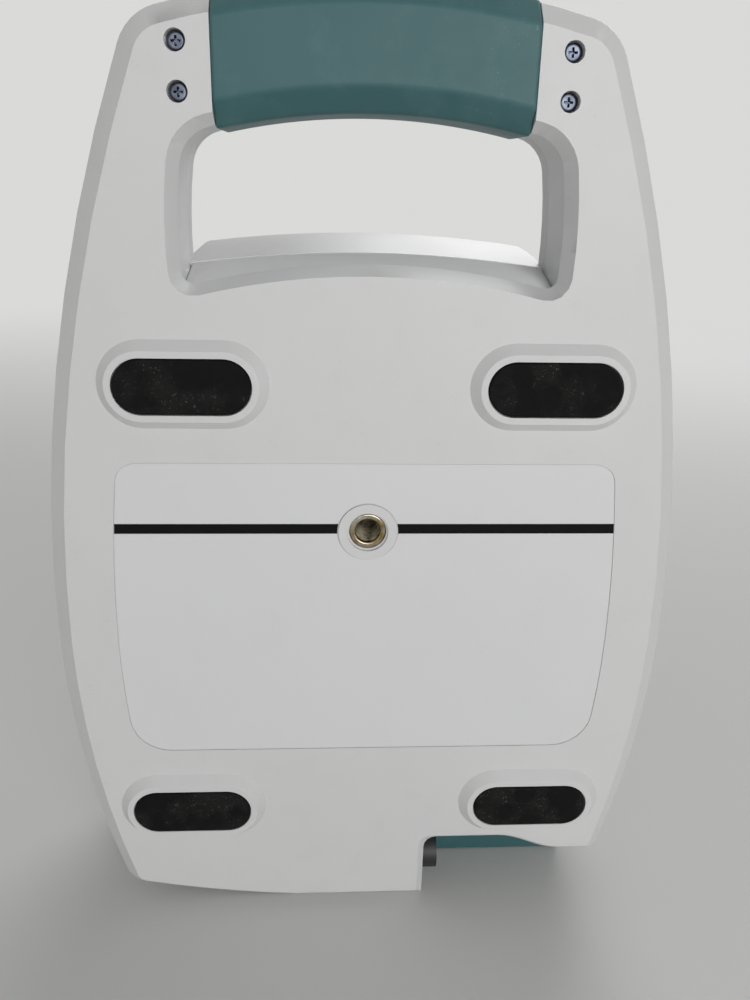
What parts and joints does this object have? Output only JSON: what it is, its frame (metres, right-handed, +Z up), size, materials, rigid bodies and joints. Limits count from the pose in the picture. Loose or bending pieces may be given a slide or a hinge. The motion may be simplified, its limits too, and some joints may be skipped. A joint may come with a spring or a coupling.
{
  "type": "bladder scanner",
  "caption": "Hand-carried ultrasound bladder scanner console: white moulded covers, teal handle grip and probe cradle, display, soft keys and a small printer, standing on its bottom end.",
  "frame": {"origin": "middle of the bounding box's bottom face, under the flat bottom end that the console stands on", "axes": "+Z up towards the carry handle, -Y out of the display face, +Y out of the rear plate with its rubber feet, +X to the right as the user faces the display, so the probe cradle is at -X"},
  "size_m": [0.2008, 0.0852, 0.3036],
  "materials": {
    "shell": "satin, fine spark texture",
    "teal": "satin, fine texture",
    "teal_key": "satin",
    "foot_rubber": "matt",
    "label": "matt film",
    "nickel": "nickel plated, worn",
    "zinc": "bright zinc",
    "black_plastic": "matt",
    "contact_block": "matt",
    "bezel": "satin",
    "lens": "clear, glossy",
    "panel": "satin",
    "key": "satin",
    "circuit": "solder mask",
    "steel": "satin",
    "brass": "bright",
    "battery": "matt",
    "frame_plastic": "matt",
    "head": "satin",
    "paper": "paper",
    "window": "glossy, dark red",
    "platen_rubber": "matt"
  },
  "bodies": {
    "console": {"rear_cover": "shell", "front_cover": "shell", "grip_rear": "teal", "grip_front": "teal", "foot_upper_left": "foot_rubber", "foot_upper_right": "foot_rubber", "foot_lower_left": "foot_rubber", "foot_lower_right": "foot_rubber", "rating_label": "label", "stand_insert": "nickel", "handle_screws": "zinc", "base_screws": "zinc", "probe_cradle": "teal", "probe_socket": "black_plastic", "socket_contacts": "contact_block", "socket_nut": "nickel", "display_bezel": "bezel", "display_lens": "lens", "lcd_panel": "panel", "key_board": "circuit", "key_board_screws": "zinc", "chassis_plate": "steel", "chassis_screws": "zinc", "board_standoffs": "brass", "main_board": "circuit", "main_board_screws": "zinc", "scan_board": "circuit", "scan_board_screws": "zinc", "battery_sleeve": "black_plastic", "battery_contacts": "brass", "printer_frame": "frame_plastic", "printer_screws": "zinc", "hinge_pin": "steel", "print_head": "head", "tear_bar": "steel", "roll_spindle": "black_plastic", "feed_motor": "steel", "speaker": "black_plastic", "data_window": "window"},
    "key_1": {"soft_key_1": "key"},
    "key_2": {"soft_key_2": "key"},
    "key_3": {"soft_key_3": "key"},
    "key_4": {"soft_key_4": "key"},
    "power": {"power_key": "teal_key"},
    "release": {"door_button": "teal_key"},
    "door": {"printer_door": "shell"},
    "platen": {"platen_roller": "platen_rubber"},
    "roll": {"paper_roll": "paper"},
    "battery": {"battery_pack": "battery"}
  },
  "joints": [
    {"name": "soft_key_1_press", "type": "slide", "parent": "console", "child": "key_1", "axis": [0, 1, 0], "range_m": [0, 0.0008], "stiffness_N_per_m": 400, "springref_m": -0.001},
    {"name": "soft_key_2_press", "type": "slide", "parent": "console", "child": "key_2", "axis": [0, 1, 0], "range_m": [0, 0.0008], "stiffness_N_per_m": 400, "springref_m": -0.001},
    {"name": "soft_key_3_press", "type": "slide", "parent": "console", "child": "key_3", "axis": [0, 1, 0], "range_m": [0, 0.0008], "stiffness_N_per_m": 400, "springref_m": -0.001},
    {"name": "soft_key_4_press", "type": "slide", "parent": "console", "child": "key_4", "axis": [0, 1, 0], "range_m": [0, 0.0008], "stiffness_N_per_m": 400, "springref_m": -0.001},
    {"name": "power_key_press", "type": "slide", "parent": "console", "child": "power", "axis": [0, 1, 0], "range_m": [0, 0.0008], "stiffness_N_per_m": 400, "springref_m": -0.001},
    {"name": "door_button_press", "type": "slide", "parent": "console", "child": "release", "axis": [0, 1, 0], "range_m": [0, 0.0012], "stiffness_N_per_m": 400, "springref_m": -0.001},
    {"name": "printer_door_hinge", "type": "hinge", "parent": "console", "child": "door", "pos_m": [0, -0.038, 0.2215], "axis": [-1, 0, 0], "range_deg": [0, 90]},
    {"name": "platen_turn", "type": "hinge", "parent": "door", "child": "platen", "pos_m": [0, -0.0342, 0.19], "axis": [1, 0, 0], "continuous": true},
    {"name": "paper_roll_turn", "type": "hinge", "parent": "console", "child": "roll", "pos_m": [0, -0.0134, 0.203], "axis": [1, 0, 0], "continuous": true},
    {"name": "battery_slide", "type": "slide", "parent": "console", "child": "battery", "axis": [1, 0, 0], "range_m": [0, 0.075]}
  ]
}
